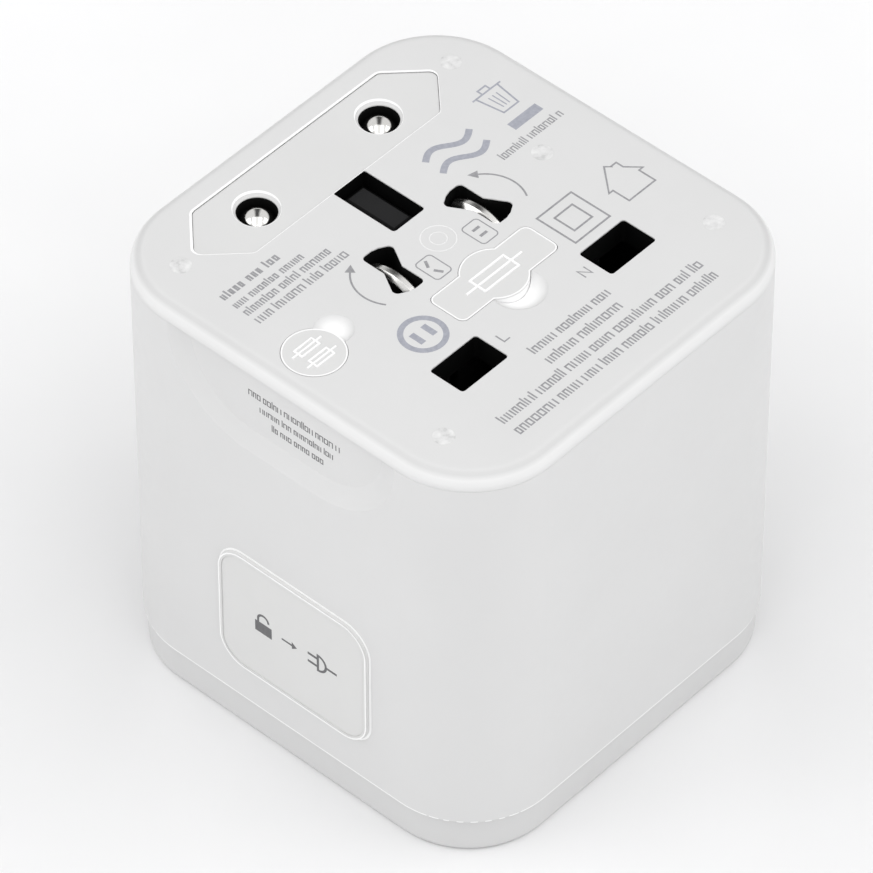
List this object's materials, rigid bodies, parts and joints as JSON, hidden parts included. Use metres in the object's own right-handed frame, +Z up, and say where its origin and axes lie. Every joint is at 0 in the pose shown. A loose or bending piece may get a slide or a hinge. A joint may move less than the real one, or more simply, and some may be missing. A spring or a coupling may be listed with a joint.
{
  "type": "universal travel adapter",
  "caption": "Rounded-square travel adapter standing on its socket face: retracted round-pin, flat-blade and rectangular-pin plugs, fuse caps and an unlock button.",
  "frame": {"origin": "middle of the socket face, which it stands on", "axes": "+Z up to the plug face, +X towards the neutral side and the slider knobs, +Y towards the round-pin plug"},
  "size_m": [0.0521, 0.0533, 0.055],
  "materials": {
    "case_plastic": "fine satin moulding",
    "button_plastic": "satin",
    "cap_plastic": "satin",
    "shutter_plastic": "satin",
    "inner_plastic": "matt",
    "black_plastic": "satin",
    "plated_brass": "bright nickel plate",
    "brass_strip": "rolled strip",
    "fuse_metal": "bright plate",
    "fuse_glass": "clear",
    "steel": "zinc plate"
  },
  "bodies": {
    "case": {"plug_face_cover": "case_plastic", "housing_sleeve": "case_plastic", "socket_face_cover": "case_plastic", "pin_guide_plate": "black_plastic", "mid_chassis": "inner_plastic", "contact_carrier": "inner_plastic", "busbar_l": "brass_strip", "busbar_n": "brass_strip", "rear_busbar_l": "brass_strip", "rear_busbar_n": "brass_strip", "socket_contact_l": "brass_strip", "socket_contact_n": "brass_strip", "fuse_strap": "brass_strip", "fuse_clip_lower": "brass_strip", "fuse_clip_upper": "brass_strip", "main_fuse_caps": "fuse_metal", "spare_fuse_caps": "fuse_metal", "main_fuse_barrel": "fuse_glass", "spare_fuse_barrel": "fuse_glass", "cover_screws": "steel", "unlock_springs": "steel", "shutter_spring": "steel"},
    "uk_plug": {"uk_carriage": "inner_plastic", "uk_earth_pin": "black_plastic", "uk_knob": "button_plastic", "uk_wipers": "brass_strip", "uk_pin_l": "plated_brass", "uk_pin_n": "plated_brass", "uk_pin_sleeve_l": "black_plastic", "uk_pin_sleeve_n": "black_plastic"},
    "blade_plug": {"blade_carriage": "inner_plastic", "blade_carriage_cap": "inner_plastic", "us_knob": "button_plastic", "blade_wipers": "brass_strip"},
    "blade_left": {"blade_l": "plated_brass", "blade_rotor_l": "black_plastic"},
    "blade_right": {"blade_n": "plated_brass", "blade_rotor_n": "black_plastic"},
    "eu_plug": {"eu_carriage": "inner_plastic", "eu_knob": "button_plastic", "eu_wipers": "brass_strip", "eu_pin_l": "plated_brass", "eu_pin_n": "plated_brass", "eu_pin_sleeve_l": "black_plastic", "eu_pin_sleeve_n": "black_plastic"},
    "eu_guide_block": {"eu_block": "case_plastic", "eu_block_liner_l": "black_plastic", "eu_block_liner_n": "black_plastic"},
    "unlock": {"unlock_button": "button_plastic", "lock_plate": "steel"},
    "shutter": {"socket_shutter": "shutter_plastic"},
    "fuse_cap": {"fuse_cover": "cap_plastic"},
    "spare_fuse_cap": {"spare_fuse_cover": "cap_plastic"}
  },
  "joints": [
    {"name": "uk_slide", "type": "slide", "parent": "case", "child": "uk_plug", "axis": [0, 0, 1], "range_m": [0, 0.0252]},
    {"name": "blade_slide", "type": "slide", "parent": "case", "child": "blade_plug", "axis": [0, 0, 1], "range_m": [0, 0.0175]},
    {"name": "blade_left_turn", "type": "hinge", "parent": "blade_plug", "child": "blade_left", "pos_m": [-0.00635, 0.0023, 0.0315], "axis": [0, 0, 1], "range_deg": [-30, 0]},
    {"name": "blade_right_turn", "type": "hinge", "parent": "blade_plug", "child": "blade_right", "pos_m": [0.00635, 0.0023, 0.0315], "axis": [0, 0, 1], "range_deg": [0, 30]},
    {"name": "eu_slide", "type": "slide", "parent": "case", "child": "eu_plug", "axis": [0, 0, 1], "range_m": [0, 0.0353]},
    {"name": "eu_block_slide", "type": "slide", "parent": "case", "child": "eu_guide_block", "axis": [0, 0, 1], "range_m": [0, 0.016]},
    {"name": "button_press", "type": "slide", "parent": "case", "child": "unlock", "axis": [1, 0, 0], "range_m": [0, 0.0016], "stiffness_N_per_m": 400, "deforming": ["unlock_springs"]},
    {"name": "shutter_slide", "type": "slide", "parent": "case", "child": "shutter", "axis": [0, -1, 0], "range_m": [0, 0.0078], "stiffness_N_per_m": 60, "deforming": ["shutter_spring"]},
    {"name": "fuse_cap_lift", "type": "slide", "parent": "case", "child": "fuse_cap", "axis": [0, 0, 1], "range_m": [0, 0.008]},
    {"name": "spare_cap_lift", "type": "slide", "parent": "case", "child": "spare_fuse_cap", "axis": [0, 0, 1], "range_m": [0, 0.008]}
  ],
  "couplings": [
    {"joint": "eu_block_slide", "follows": "eu_slide", "ratio": 0.45326}
  ]
}
